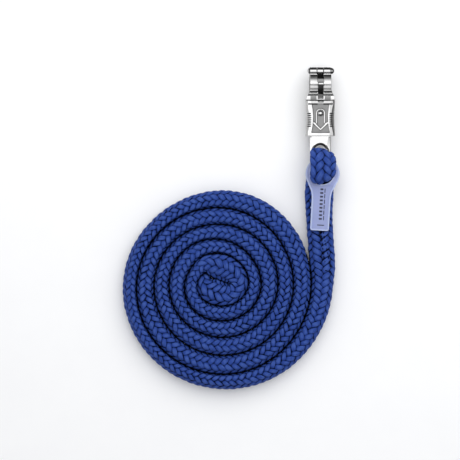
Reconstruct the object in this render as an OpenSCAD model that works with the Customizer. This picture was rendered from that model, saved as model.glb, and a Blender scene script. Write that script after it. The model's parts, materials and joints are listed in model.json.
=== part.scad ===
// Braided lead rope with a quick-release snap.
// The rope lies coiled flat on a level surface. One end is spliced into an eye
// through the plate of a metal snap; the other end is the centre of the coil.
//
// Frame: the origin is the centre of the snap's throat. +X runs along the
// throat (and along the hinge pin of the jaw), +Y points from the rope to the
// hinge end of the snap, and +Z points up, away from the resting surface.
// All sizes are in millimetres.

/* [Rope] */
// Width of the rope where the turns of the coil press it together
rope_w = 15.6; // [14:0.1:15.6]
// Height of the rope, and its diameter where it runs free
rope_d = 20; // [18:0.5:20]
// Wall thickness of the braided cover
cover_t = 2.2; // [1.6:0.1:2.6]
// Distance from one turn of the coil to the next
coil_pitch = 15.865; // [15.865:0.1:18]
// Number of half turns in the coil
half_turns = 11; // [5:2:11]
// Radius of the first turn, from the coil centre to the middle of the rope
coil_r = 95.1; // [95.1:0.5:110]

/* [Snap] */
// Diameter of the throat that takes the halter ring
throat_d = 18; // [16:0.5:18]
// Outside diameter of the hook ring
ring_d = 30; // [29:0.5:30.5]
// Width of the hook along the throat
hook_w = 20; // [18:0.5:20]
// Diameter of the hinge pin
pin_d = 3.2; // [2.8:0.1:3.4]
// Width of the slot between the two knuckles of the jaw
knuckle_gap = 6.2; // [5.6:0.1:6.6]
// Thickness of the flat shank and of the eye plate
plate_t = 4; // [3.6:0.1:4.2]
// Diameter of the eye for the rope
eye_d = 15; // [14:0.5:15]

/* [Release sleeve] */
// Width of the sleeve at its ends
sleeve_w = 28; // [27:0.5:29]
// Length of the sleeve along the shank
sleeve_l = 33.25; // [32:0.25:34]
// Thickness of the sleeve
sleeve_h = 19; // [18.5:0.25:19.5]
// Number of grip teeth on each side
grip_teeth = 7; // [5:1:8]

/* [Hang tag] */
// Thickness of the tag
tag_t = 1.8; // [1.4:0.1:2]
// Outside diameter of the ring of the tag
tag_ring_d = 32.3; // [31:0.1:33]
// Radius of the hole in the ring
tag_hole_r = 11.2; // [11:0.1:11.8]
// Width of the flat panel
tag_w = 17.8; // [16:0.1:19]
// Distance from the centre of the ring to the end of the panel
tag_l = 53.8; // [45:0.1:56]

/* [Hidden] */
$fn = 64;

// resting surface and rope heights
floor_z = -15.5;
flat_d = 0.15;                          // how far the rope flattens under its own weight
rope_z = floor_z + rope_d / 2 - flat_d; // height of the rope's centre line
rope_top = rope_z + rope_d / 2;
core_gap = 0.2;

// coil: half circles, each smaller than the one before by half of the pitch,
// with their centres stepping from side to side so that they stay tangent
coil_x = -95.2;
coil_y = -191.75;
coil_h = rope_d - 2 * flat_d - 0.1;     // the turns press each other a little flatter
quarter_pitch = coil_pitch / 4;
last_turn = half_turns - 1;
whip_angle = 46;                        // part of the last turn that carries the whipping
function arc_radius(k) = coil_r - (2 * k + 1) * quarter_pitch;
function arc_centre(k) = [coil_x + (k % 2 == 0 ? 1 : -1) * quarter_pitch, coil_y];

// the first quarter is a little wider, and runs on past the quarter so that the
// standing part leans by lead_angle
lead_angle = 1.9;
lead_out = 2.1;
first_radius = arc_radius(0) + lead_out;
first_centre = arc_centre(0) + [0, lead_out];

// the standing part runs from the coil to the eye splice
stand_len = 84;                         // as far as the leg below the plate
stand_all = 111;                        // on into that leg
stand_bore = 14.4;
stand_core_d = stand_bore - 2 * core_gap;
stand_start = first_centre + first_radius * [cos(lead_angle), sin(lead_angle)];
stand_end = stand_start + stand_len * [-sin(lead_angle), cos(lead_angle)];

// ring, hinge and plate of the snap
throat_r = throat_d / 2;
ring_r = ring_d / 2;
pin_y = throat_r + 3.6;
knuckle_r = 3.5;
pin_clear = 0.06;
split = 0.3;                            // half of the gap between hook and jaw
knuckle_side = 0.25;                    // gap at each side of the middle knuckle
eye_y = -63;
plate_end_y = -63.6;                    // centre of the plate's round end

// sleeve, its rivet, and the slot in the shank
sleeve_top = -16;                       // end of the sleeve towards the ring
sleeve_end = sleeve_top - sleeve_l;
shoulder_y = sleeve_top + 0.5;
panel_depth = 1.1;                      // of the sunk panels above and below
rim_y = -18.9;                          // where the sleeve's rim begins to slope
rivet_y = -27.9;
rivet_r = 1.8;
slot_w = 5.6;
slot_top = rivet_y + rivet_r + 0.3;
slot_end = -45.8;

// the tongue of the jaw tucks under a sloping lip of the sleeve
lip_z0 = 8.6;                           // height of the lip at the mouth of the sleeve
lip_z1 = 3.5;                           // height at its inner end
tongue_end = sleeve_top - 2;

// loop of rope through the eye
neck_y = -65;                           // where the rope passes through the eye
neck_r = 4;
low_leg_r = 9.5;
low_leg_z = -plate_t / 2 - 0.9;         // top of the leg below the plate
high_leg_z = 7.4;                       // underside of the leg above the plate
loop_x = 1.7;
loop_w = 22.8;
loop_y0 = -93.9;
loop_y1 = -61.1;
loop_top = 19;

// place of the tag's ring
tag_x = 2;
tag_y = -85.35;
tag_z = 5.0;
tag_lean = -3.2;

// ---------------------------------------------------------------- helpers

// upright oval section: two circles and the square between them
module oval(width, height) {
    for (s = [-1, 1])
        translate([0, s * (height - width) / 2]) circle(d = width, $fn = 32);
    square([width, height - width], center = true);
}

module oval_ring(width, height, wall) {
    difference() {
        oval(width, height);
        oval(width - 2 * wall, height - 2 * wall);
    }
}

// one arc of rope, turning clockwise seen from above, from angle start to
// start - angle; solid where no wall is given
module rope_arc(centre, radius, start, angle, width, height, wall = 0) {
    translate([centre[0], centre[1], rope_z])
        rotate([0, 0, start - angle])
            rotate_extrude(angle = angle, $fn = 72)
                translate([radius, 0])
                    if (wall > 0) oval_ring(width, height, wall);
                    else oval(width, height);
}

// all of the coil except its last half turn
module outer_turns(width, height, wall = 0) {
    rope_arc(first_centre, first_radius, lead_angle, 90 + lead_angle, width, height, wall);
    rope_arc(arc_centre(0), arc_radius(0), -90, 90, width, height, wall);
    for (k = [1 : last_turn - 1])
        rope_arc(arc_centre(k), arc_radius(k), -180 * k, 180, width, height, wall);
}

// an arc of the last half turn
module last_arc(start, angle, width, height, wall = 0) {
    rope_arc(arc_centre(last_turn), arc_radius(last_turn), start, angle, width, height, wall);
}

// places a piece on the centre line of the standing part
module along_standing(distance) {
    translate([stand_start[0], stand_start[1], rope_z]) rotate([-90, 0, lead_angle])
        translate([0, 0, distance]) children();
}

// a side profile drawn as (Y, Z), given a width along X
module across(x0, x1) {
    translate([x0, 0, 0]) rotate([90, 0, 90]) linear_extrude(x1 - x0) children();
}

// outline symmetrical about x = 0, from the points of its +X half
function both_sides(half) =
    concat([for (p = half) [-p[0], p[1]]], [for (i = [len(half) - 1 : -1 : 0]) half[i]]);

// spherical cap on the XY plane
module dome(radius, height) {
    sphere_r = (radius * radius + height * height) / (2 * height);
    intersection() {
        translate([0, 0, height - sphere_r]) sphere(r = sphere_r, $fn = 64);
        cylinder(r = radius + 1, h = height + 1, $fn = 48);
    }
}

// head of a pin or rivet: a straight rim with a dome on it
module domed_head(radius, rim, crown) {
    cylinder(r = radius, h = rim, $fn = 48);
    translate([0, 0, rim]) dome(radius, crown);
}

// ---------------------------------------------------------------- rope

module low_leg() {
    bottom = floor_z + 0.8;
    end_y = loop_y1 - low_leg_r;
    translate([0, 0, bottom])
        linear_extrude(low_leg_z - bottom) {
            translate([0, end_y]) circle(r = low_leg_r);
            translate([-low_leg_r, stand_end[1]])
                square([2 * low_leg_r, end_y - stand_end[1]]);
        }
}

// crowned across its width and along its length
module high_leg() {
    side_crown = 14;
    long_crown = 22;
    end_r = loop_w / 2;
    intersection() {
        translate([0, 0, high_leg_z]) linear_extrude(loop_top - high_leg_z) {
            for (y = [loop_y1 - end_r, loop_y0 + end_r])
                translate([loop_x, y]) circle(r = end_r);
            translate([loop_x - end_r, loop_y0 + end_r])
                square([loop_w, loop_y1 - loop_y0 - loop_w]);
        }
        translate([loop_x, loop_y0 - 1, loop_top - side_crown]) rotate([-90, 0, 0])
            cylinder(r = side_crown, h = loop_y1 - loop_y0 + 2, $fn = 96);
        translate([loop_x - 30, (loop_y0 + loop_y1) / 2, loop_top - long_crown])
            rotate([0, 90, 0]) cylinder(r = long_crown, h = 60, $fn = 96);
    }
}

// the leg below the plate, the neck through the eye, the leg above, and the
// tuck back down into the standing part
module loop_of_rope() {
    low_leg();
    translate([0, neck_y, low_leg_z - 1])
        cylinder(r = neck_r, h = high_leg_z - low_leg_z + 2);
    high_leg();
    // tuck, inside the ring of the tag
    translate([1, tag_y + 1.3, rope_z]) cylinder(r = 8.2, h = high_leg_z + 2 - rope_z);
}

// hollow as far as the tuck, and cut flat underneath
module standing_part() {
    difference() {
        intersection() {
            along_standing(0) cylinder(d = rope_d, h = stand_all);
            translate([-30, -200, floor_z]) cube([60, 140, 40]);
        }
        along_standing(-1) cylinder(d = stand_bore, h = stand_len - 3);
    }
}

module rope_cover() {
    draw_in = 1.8;
    color([0.15, 0.25, 0.55]) {
        outer_turns(rope_w, coil_h, cover_t);
        last_arc(0, 180 - whip_angle, rope_w, coil_h, cover_t);
        // drawn in under the whipping
        last_arc(-180 + whip_angle, whip_angle,
                 rope_w - draw_in, coil_h - draw_in, cover_t - 0.6);
        standing_part();
        loop_of_rope();
    }
}

module rope_core() {
    width = rope_w - 2 * cover_t - 2 * core_gap;
    height = coil_h - 2 * cover_t - 2 * core_gap;
    color([0.85, 0.85, 0.88]) {
        outer_turns(width, height);
        last_arc(0, 178, width - 1, height - 1);
        along_standing(0) cylinder(d = stand_core_d, h = 6);
    }
}

// the end of the rope, buried in the standing part below the eye
module splice_tail() {
    color([0.12, 0.2, 0.48])
        along_standing(6.5) cylinder(d = stand_core_d, h = stand_len - 11);
}

// two rows of lock stitches along the top of the standing part
module splice_stitching() {
    step = 4.6;
    // each row: x and y of its first stitch, drift in x per mm, turn of a stitch
    rows = [[-0.6, -142.2, 0.07, 4],
            [3.0, -143.4, 0.17, 8]];
    color([0.06, 0.09, 0.25])
        for (row = rows, i = [0 : 6])
            translate([row[0] + row[2] * i * step * 0.8, row[1] - i * step, rope_top + 0.35])
                rotate([90, 0, row[3]])
                    cylinder(r = 0.3, h = 3.1, $fn = 16);
}

module end_whipping() {
    color([0.07, 0.1, 0.3])
        last_arc(-180 + whip_angle - 1, whip_angle - 2, rope_w - 0.1, coil_h - 0.1, 0.8);
}

// ---------------------------------------------------------------- snap

module throat() {
    circle(r = throat_r, $fn = 96);
}

// section of a hinge knuckle
module knuckle(clearance = 0) {
    translate([pin_y, 0]) circle(r = knuckle_r + clearance, $fn = 64);
}

// upper or lower half of the ring, in (Y, Z)
module ring_half(top) {
    difference() {
        circle(r = ring_r, $fn = 96);
        throat();
        translate([-50, top ? split - 100 : -split]) square([100, 100]);
    }
}

// outline of the hook from above: straight sides, then shoulders that flare out
// to the width of the sleeve, then a tail
module hook_outline(tail_w, tail_y) {
    arm = hook_w / 2;
    shoulder = sleeve_w / 2 - 0.2;
    // x, y
    half = [[arm, 20], [arm, -5.2], [arm + 0.7, -7.8], [arm + 1.9, -10.4],
            [shoulder - 0.5, -12.8], [shoulder, -14.6], [shoulder, shoulder_y],
            [tail_w / 2, shoulder_y], [tail_w / 2, tail_y]];
    translate([0, 0, -20]) linear_extrude(40) polygon(both_sides(half));
}

module pin_bore() {
    translate([-30, pin_y, 0]) rotate([0, 90, 0])
        cylinder(d = pin_d + 2 * pin_clear, h = 60, $fn = 48);
}

module fixed_arm() {
    intersection() {
        across(-sleeve_w / 2, sleeve_w / 2) {
            ring_half(false);
            // foot
            difference() {
                translate([-20, -6]) square([14, 6 - split]);
                throat();
            }
        }
        hook_outline(hook_w - 0.6, -20);
    }
}

module middle_knuckle() {
    half_w = knuckle_gap / 2 - knuckle_side;
    across(-half_w, half_w) {
        knuckle();
        // web that joins the knuckle to the fixed arm
        intersection() {
            difference() {
                circle(r = pin_y + 0.6, $fn = 96);
                throat();
            }
            translate([throat_r - 3, -8]) square([8, 8]);
        }
    }
}

// +X half of the section of the eye plate, with broad chamfers
module eye_plate_section() {
    edge = hook_w / 2;
    face = plate_t / 2;
    polygon([[0, -face], [edge - 2.6, -face], [edge, -face + 0.9],
             [edge, face - 0.9], [edge - 2.6, face], [0, face]]);
}

module shank_and_plate() {
    shank_y0 = -50;
    shank_y1 = -18.8;
    // flat shank inside the sleeve
    translate([-hook_w / 2, shank_y0, -plate_t / 2])
        cube([hook_w, shank_y1 - shank_y0, plate_t]);
    // plate outside the sleeve, with a round end
    translate([0, plate_end_y, 0]) rotate([-90, 0, 0])
        linear_extrude(shank_y0 + 0.1 - plate_end_y) {
            eye_plate_section();
            mirror([1, 0]) eye_plate_section();
        }
    translate([0, plate_end_y, 0]) rotate_extrude($fn = 96) eye_plate_section();
}

// eye for the rope, with flared mouths
module eye_cut() {
    flare = 8.4;
    flare_h = 2.6;
    translate([0, eye_y, -5]) cylinder(d = eye_d, h = 10, $fn = 96);
    for (s = [-1, 1])
        translate([0, eye_y, s * plate_t / 2]) rotate([s > 0 ? 0 : 180, 0, 0])
            translate([0, 0, -flare_h / 2])
                cylinder(d1 = eye_d, d2 = eye_d + flare, h = flare_h, $fn = 96);
}

module hook_body() {
    inner = knuckle_gap / 2 - knuckle_side;
    color([0.78, 0.79, 0.8])
    difference() {
        union() {
            fixed_arm();
            middle_knuckle();
            shank_and_plate();
        }
        // room for the two knuckles of the jaw
        for (span = [[-20, -inner], [inner, 20]])
            across(span[0], span[1]) knuckle(0.4);
        pin_bore();
        // slot for the rivet and the spring
        translate([-slot_w / 2, slot_end, -5]) cube([slot_w, slot_top - slot_end, 10]);
        eye_cut();
    }
}

// side profile of the jaw without its knuckles, in (Y, Z)
module jaw_profile() {
    difference() {
        union() {
            difference() {
                ring_half(true);
                // cleared around the hinge
                translate([8.3, 3.6]) square([10, 20]);
                translate([9.7, -1]) square([10, 20]);
            }
            // foot and tongue
            difference() {
                polygon([[-6, split], [tongue_end, split],
                         [tongue_end, lip_z1 - 0.1],
                         [sleeve_top, lip_z0 - 0.6],
                         [shoulder_y, lip_z0 - 0.2],
                         [shoulder_y, 9.2], [-13.6, 9.6], [-6, 10]]);
                throat();
            }
        }
        // grooves across the top of the jaw: angle from +Z, radius
        for (groove = [[-7, 1.0], [-24, 0.6], [-38, 1.0]])
            translate([ring_r * sin(groove[0]), ring_r * cos(groove[0])])
                circle(r = groove[1], $fn = 32);
    }
}

module release_jaw() {
    color([0.78, 0.79, 0.8])
    difference() {
        union() {
            intersection() {
                across(-sleeve_w / 2, sleeve_w / 2) jaw_profile();
                hook_outline(hook_w - 1.4, tongue_end - 1);
            }
            // two knuckles
            for (span = [[-hook_w / 2, -knuckle_gap / 2], [knuckle_gap / 2, hook_w / 2]])
                across(span[0], span[1]) knuckle();
        }
        // slot between the knuckles, as far as the bridge
        translate([-knuckle_gap / 2, 1.2, -20]) cube([knuckle_gap, 20, 40]);
        // recess along the middle of the top, between two raised columns
        across(-2.5, 2.7) difference() {
            translate([-14.4, 2]) square([17.5, 20]);
            circle(r = ring_r - 1.3, $fn = 96);
            translate([-20, -20]) square([8.6, 28.4]);
        }
        // window on the -Y side of the bridge
        translate([-1.9, -13.4, -1]) cube([4.4, 10.6, 30]);
        pin_bore();
    }
}

module jaw_pin() {
    // each head: direction along X, radius, rim, crown
    heads = [[1, 2.9, 0.9, 2.3],
             [-1, 2.7, 0.5, 1.4]];
    color([0.85, 0.85, 0.86]) {
        translate([-hook_w / 2 - 0.4, pin_y, 0]) rotate([0, 90, 0])
            cylinder(d = pin_d, h = hook_w + 0.8, $fn = 48);
        for (head = heads)
            translate([head[0] * (hook_w / 2 + 0.15), pin_y, 0]) rotate([0, head[0] * 90, 0])
                domed_head(head[1], head[2], head[3]);
    }
}

// ---------------------------------------------------------------- sleeve

// body of the sleeve: flat top and bottom, bands that slope away beside them,
// an edge, and flanks that spread to the full width
module sleeve_block() {
    edge = sleeve_w / 2;
    face = sleeve_h / 2;
    rotate([90, 0, 0]) linear_extrude(sleeve_l)
        for (flip_x = [0, 1], flip_z = [0, 1])
            mirror([flip_x, 0]) mirror([0, flip_z])
                polygon([[-0.1, -0.1], [-0.1, face], [edge - 5.6, face],
                         [edge - 1.9, face - 0.95], [edge - 1.3, face - 1.6],
                         [edge - 0.25, face - 4.4], [edge, face - 5.2], [edge, -0.1]]);
}

// outline of the sunk panel, narrower in the middle
module panel_outline() {
    // x, y
    half = [[8.4, rim_y], [7.4, -24], [6.9, -30], [7.0, -36], [7.6, -41], [8.8, -46.4]];
    polygon(both_sides(half));
}

// raised arrow: an open stem around the rivet and a head that points along -Y
module arrow_outline() {
    outer_r = 4.4;
    inner_r = 3.2;
    stem_y = -37.6;
    difference() {
        union() {
            translate([0, rivet_y]) circle(r = outer_r, $fn = 48);
            translate([-outer_r, stem_y]) square([2 * outer_r, rivet_y - stem_y]);
        }
        translate([0, rivet_y]) circle(r = inner_r, $fn = 48);
        translate([-inner_r, stem_y - 0.4]) square([2 * inner_r, rivet_y - stem_y + 0.4]);
    }
    polygon([[-7.3, -36.6], [-6.2, -35.9], [0, -42.4], [6.2, -35.9], [7.3, -36.6],
             [7.3, stem_y], [0, -44.4], [-7.3, stem_y]]);
}

// block with its waist and sunk panels, and the arrow on the upper one
module sleeve_outside() {
    waist = 0.9;
    waist_r = (pow(sleeve_l / 2, 2) + waist * waist) / (2 * waist);
    panel_z = sleeve_h / 2 - panel_depth;
    difference() {
        translate([0, sleeve_top, 0]) sleeve_block();
        for (s = [-1, 1])
            translate([s * (sleeve_w / 2 - waist + waist_r), sleeve_top - sleeve_l / 2, -20])
                cylinder(r = waist_r, h = 40, $fn = 360);
        for (z = [panel_z, -panel_z - 5])
            translate([0, 0, z]) linear_extrude(5) panel_outline();
    }
    translate([0, 0, panel_z - 0.4]) linear_extrude(1.1) arrow_outline();
}

module sleeve_cavity() {
    half_w = hook_w / 2 + 0.4;
    roof = 6.3;
    plate_gap = 0.25;
    // open towards the ring, where the lip slopes
    across(-half_w, half_w)
        polygon([[sleeve_top + 1, lip_z0 + 2.3], [sleeve_top, lip_z0],
                 [sleeve_top - 2.3, lip_z1 - 0.35], [sleeve_top - 2.9, roof],
                 [sleeve_end + 3, roof], [sleeve_end + 3, -roof],
                 [sleeve_top + 1, -roof]]);
    // close fit on the plate at the far end
    translate([-half_w + 0.1, sleeve_end - 1, -plate_t / 2 - plate_gap])
        cube([2 * half_w - 0.2, 6, plate_t + 2 * plate_gap]);
}

// slopes on the rim towards the ring, above and below
module rim_slopes() {
    face = sleeve_h / 2;
    for (flip = [0, 1]) mirror([0, 0, flip])
        across(-sleeve_w, sleeve_w)
            polygon([[sleeve_top + 1, face - 0.6], [sleeve_top + 1, sleeve_h],
                     [rim_y, sleeve_h], [rim_y, face - 0.01], [sleeve_top, face - 0.5]]);
}

// V grooves that leave the grip teeth, along all four long edges
module grip_grooves() {
    tooth_pitch = 2.0;
    groove = 1.15;
    for (s = [-1, 1], i = [0 : grip_teeth - 1], f = [-1, 1])
        translate([s * (sleeve_w / 2 - 1.5), rivet_y - 0.4 - i * tooth_pitch,
                   f * (sleeve_h / 2 - 1.3)])
            rotate([f * s * -45, 0, 90])
                rotate([0, 0, 45]) cube([groove, groove, 9], center = true);
}

module release_sleeve() {
    color([0.7, 0.71, 0.73])
    difference() {
        union() sleeve_outside();
        sleeve_cavity();
        rim_slopes();
        // notch in the rim over the tongue
        translate([-2.2, sleeve_top - 1.5, sleeve_h / 2 - 1.6]) cube([5, 5, 20]);
        grip_grooves();
        // hole for the rivet
        translate([0, rivet_y, -20]) cylinder(r = rivet_r + 0.05, h = 40, $fn = 48);
    }
}

module sleeve_rivet() {
    seat = sleeve_h / 2 - panel_depth;
    color([0.85, 0.85, 0.86]) translate([0, rivet_y, 0]) {
        translate([0, 0, -seat - 0.4]) cylinder(r = rivet_r, h = 2 * seat + 0.7, $fn = 48);
        translate([0, 0, seat + 0.05]) domed_head(2.85, 0.6, 1.6);
        // flat head underneath
        translate([0, 0, -seat - 0.65]) cylinder(r = 2.6, h = 0.6, $fn = 48);
    }
}

// compression spring in the slot, a wire swept along a helix
module sleeve_spring() {
    coils = 8;
    wire_r = 0.4;
    mean_r = 2.1;
    end_gap = 0.15;
    end_pitch = 0.9;                    // closed end coils
    top_y = rivet_y - rivet_r - end_gap - wire_r;
    bottom_y = slot_end + end_gap + wire_r;
    height = top_y - bottom_y;
    turn_steps = 20;
    sides = 8;                          // of the wire's section
    steps = coils * turn_steps;
    // distance along the axis after a number of turns
    function rise(turn) =
        turn < 1 ? turn * end_pitch
        : turn > coils - 1 ? height - (coils - turn) * end_pitch
        : end_pitch + (turn - 1) / (coils - 2) * (height - 2 * end_pitch);
    points = [for (i = [0 : steps], j = [0 : sides - 1])
        let (turn = i / turn_steps,
             angle = 360 * turn,
             around = 360 * j / sides,
             radius = mean_r + wire_r * cos(around))
            [radius * cos(angle),
             bottom_y + rise(turn) + wire_r * sin(around),
             radius * sin(angle)]];
    faces = concat(
        [[for (j = [0 : sides - 1]) j]],
        [for (i = [0 : steps - 1], j = [0 : sides - 1])
            let (next = (j + 1) % sides)
                [i * sides + j, (i + 1) * sides + j,
                 (i + 1) * sides + next, i * sides + next]],
        [[for (j = [sides - 1 : -1 : 0]) steps * sides + j]]);
    color([0.6, 0.62, 0.65]) polyhedron(points = points, faces = faces, convexity = 10);
}

// ---------------------------------------------------------------- tag

// outline of the tag, drawn in from its edges by inset
module tag_shape(inset) {
    ring = tag_ring_d / 2;
    edge = tag_w / 2;
    corner = 2;
    corner_y = -tag_l + corner;
    // x, y of the neck and of the panel's side
    half = [[ring * 0.86 - inset, -ring * 0.52], [edge + 1.0 - inset, -ring - 0.6],
            [edge + 0.2 - inset, -ring - 5], [edge - inset, -ring - 9],
            [edge - inset, corner_y]];
    difference() {
        union() {
            circle(r = ring - inset, $fn = 96);
            polygon(both_sides(half));
            for (s = [-1, 1])
                translate([s * (edge - corner), corner_y])
                    circle(r = corner - inset, $fn = 32);
            translate([-edge + corner, -tag_l + inset]) square([tag_w - 2 * corner, 4]);
        }
        translate([-0.3, 1.3]) circle(r = tag_hole_r + inset, $fn = 96);
    }
}

module hang_tag() {
    border = 1.5;
    sink = 0.35;
    color([0.66, 0.7, 0.86, 0.7])
    translate([tag_x, tag_y, tag_z]) rotate([0, 0, tag_lean])
        difference() {
            union() {
                linear_extrude(tag_t) tag_shape(0);
                // gate mark on the -X edge
                translate([-tag_w / 2 - 0.9, -33, 0.3]) cube([1.4, 1.2, tag_t - 0.6]);
            }
            // the face is sunk inside a raised border
            translate([0, 0, tag_t - sink]) linear_extrude(1)
                intersection() {
                    tag_shape(border);
                    translate([-20, -tag_l]) square([40, tag_l - 11]);
                }
        }
}

rope_cover();
rope_core();
splice_tail();
splice_stitching();
end_whipping();
hook_body();
release_jaw();
jaw_pin();
release_sleeve();
sleeve_rivet();
sleeve_spring();
hang_tag();
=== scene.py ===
"""A coiled braided rope with a plated release snap and a soft plastic hang tag.

Everything lies flat in the XY plane and is seen from +Z. The snap runs along Y: the throat
of its hook is round the X axis at the origin and its eye is at about y = -63 mm. The rope
leaves the eye towards -Y and ends in a flat coil on the -X side. The tag hangs by a ring
below the eye. Lengths are in millimetres, turned into metres with MM as meshes are made.
"""

import json
import math

import bmesh
import bpy
import numpy as np
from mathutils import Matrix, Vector
from mathutils.kdtree import KDTree

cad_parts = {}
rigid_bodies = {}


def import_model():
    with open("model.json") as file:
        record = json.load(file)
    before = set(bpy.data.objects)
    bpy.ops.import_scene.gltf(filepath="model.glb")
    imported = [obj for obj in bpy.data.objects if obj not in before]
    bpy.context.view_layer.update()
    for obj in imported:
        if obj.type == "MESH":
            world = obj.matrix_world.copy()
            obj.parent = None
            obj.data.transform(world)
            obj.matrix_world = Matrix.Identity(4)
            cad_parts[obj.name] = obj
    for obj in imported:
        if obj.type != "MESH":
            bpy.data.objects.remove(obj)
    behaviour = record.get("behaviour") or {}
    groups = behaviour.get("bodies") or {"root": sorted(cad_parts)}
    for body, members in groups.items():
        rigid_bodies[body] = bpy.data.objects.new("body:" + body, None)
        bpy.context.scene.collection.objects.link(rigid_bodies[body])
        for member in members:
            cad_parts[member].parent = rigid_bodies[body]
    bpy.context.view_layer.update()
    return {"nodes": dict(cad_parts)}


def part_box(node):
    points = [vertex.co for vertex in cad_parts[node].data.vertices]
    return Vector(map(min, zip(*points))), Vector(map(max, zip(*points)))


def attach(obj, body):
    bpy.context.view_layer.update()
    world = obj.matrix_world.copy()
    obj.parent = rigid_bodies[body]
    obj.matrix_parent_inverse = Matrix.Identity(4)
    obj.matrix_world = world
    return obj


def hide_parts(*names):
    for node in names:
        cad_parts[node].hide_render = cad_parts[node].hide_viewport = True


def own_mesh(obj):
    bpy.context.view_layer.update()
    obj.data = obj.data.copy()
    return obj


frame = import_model()
MM = 0.001
TAU = 2 * math.pi


# ------------------------------------------------------------------ the rope's path

POLE = np.array([-89.5, -185.1])    # the middle of the coil
ROPE_Z = -5.5                       # centre of the rope where it lies flat
ROPE_HEIGHT = 19.6
MAX_HEIGHT = 20
STATION_STEP = 1.0

# Distance from the pole to the outer edge of the rope, every 30 degrees clockwise
# from +X, along the one long spiral edge from the outside to the middle.
EDGE_TURN = 30.0
EDGE = np.array([
    103.1, 101.6, 105.3, 104.8, 104.5, 101.6, 98.3, 90.7, 85.0, 84.5, 82.2, 79.8,
    80.8, 83.6, 88.3, 92.1, 92.1, 90.7, 86.0, 79.3, 72.7, 67.5, 64.1, 62.2,
    64.1, 67.5, 70.8, 73.1, 74.1, 71.7, 69.3, 63.2, 56.5, 51.3, 49.4, 48.0,
    50.3, 51.8, 53.7, 56.0, 57.5, 57.9, 54.6, 50.3, 43.2, 36.6, 32.8, 30.9,
    33.7, 36.1, 38.0, 39.9, 42.8, 45.1, 38.9, 32.8, 28.5, 22.8, 20.4, 19.9,
    22.3, 22.8, 23.8, 25.6, 28.5, 31.3, 26.6])

# From the end of the rope, tucked under the first turn, round the slit at the middle of
# the coil: x and y from the pole, z, width, height.
INNER = [
    (-16.5, 14.0, -11.2, 9.0, 7.4), (-19.6, 8.6, -10.6, 11.5, 9.0),
    (-21.0, 1.0, -7.6, 15.0, 14.6), (-19.4, -6.7, -5.8, 22.0, 19.0),
    (-10.6, -12.4, ROPE_Z, 25.6, ROPE_HEIGHT), (0.0, -14.5, ROPE_Z, 23.6, ROPE_HEIGHT),
    (7.2, -12.6, ROPE_Z, 21.0, ROPE_HEIGHT), (11.2, -7.9, ROPE_Z, 20.4, ROPE_HEIGHT),
    (12.2, -2.4, ROPE_Z, 21.4, ROPE_HEIGHT), (9.8, 2.5, ROPE_Z, 23.2, ROPE_HEIGHT),
    (5.2, 7.0, ROPE_Z, 25.6, ROPE_HEIGHT), (-1.4, 10.3, -5.0, 27.4, 19.0),
    (-10.7, 13.1, -3.2, 25.0, 15.4), (-20.0, 14.6, -2.6, 16.0, 14.2),
    (-27.2, 9.4, -4.6, 12.4, 18.0)]

# From the coil along the standing part, under the plate, up through the eye, over the top
# and down through the ring of the tag: x, y, z, width, height.
OUTER = [
    (2.5, -176.5, ROPE_Z, 24.2, ROPE_HEIGHT), (1.5, -162.3, ROPE_Z, 25.8, 19.8),
    (0.7, -148.0, ROPE_Z, 25.6, 20), (0.0, -138.0, ROPE_Z, 25.6, 20),
    (-0.5, -129.0, ROPE_Z, 25.8, 20), (-0.8, -117.0, ROPE_Z, 27.0, 20),
    (-0.9, -105.3, ROPE_Z, 28.4, 20), (-0.4, -95.0, ROPE_Z, 28.0, 20),
    (-0.2, -86.0, -5.7, 25.2, 19.4), (-0.1, -79.5, -7.7, 21.0, 15.4),
    (0, -73.6, -8.8, 18.6, 11.8), (0, -68.6, -8.2, 14.6, 10.4),
    (0, -65.7, -5.0, 10.4, 8.6), (0, -65.0, -1.0, 8.2, 8.0),
    (0.1, -65.1, 3.2, 10.4, 8.0), (1.4, -65.8, 8.2, 25.0, 9.8),
    (2.2, -69.0, 11.9, 28.2, 11.0), (2.4, -74.6, 13.3, 28.4, 11.4),
    (2.3, -79.4, 13.3, 26.6, 11.6), (2.2, -84.4, 12.0, 28.4, 13.2),
    (2.3, -87.4, 8.6, 25.4, 14.6), (2.0, -87.5, 5.0, 19.2, 12.4),
    (1.2, -87.2, 0.5, 16.6, 12.0), (0.4, -86.6, -3.2, 15.0, 10.5)]


def arc_length(points):
    """Distance along a polyline at each of its points."""
    steps = np.linalg.norm(np.diff(points, axis=0), axis=1)
    return np.concatenate([[0], np.cumsum(steps)])


def between(t, t_a, a, t_b, b):
    return (t_b - t) / (t_b - t_a) * a + (t - t_a) / (t_b - t_a) * b


def catmull(points, per_span=12):
    """A smooth centripetal curve through the rows; knots are spaced by x, y and z."""
    rows = np.array(points, float)
    rows = np.vstack([2 * rows[0] - rows[1], rows, 2 * rows[-1] - rows[-2]])
    curve = []
    for i in range(1, len(rows) - 2):
        a, b, c, d = rows[i - 1:i + 3]
        knots = [0.0]
        for start, end in ((a, b), (b, c), (c, d)):
            knots.append(knots[-1] + max(np.linalg.norm((end - start)[:3]), 1e-6) ** 0.5)
        t0, t1, t2, t3 = knots
        for t in np.linspace(t1, t2, per_span, endpoint=False):
            ab = between(t, t0, a, t1, b)
            bc = between(t, t1, b, t2, c)
            cd = between(t, t2, c, t3, d)
            abc = between(t, t0, ab, t2, bc)
            bcd = between(t, t1, bc, t3, cd)
            curve.append(between(t, t1, abc, t2, bcd))
    curve.append(rows[-2])
    return np.array(curve)


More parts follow.
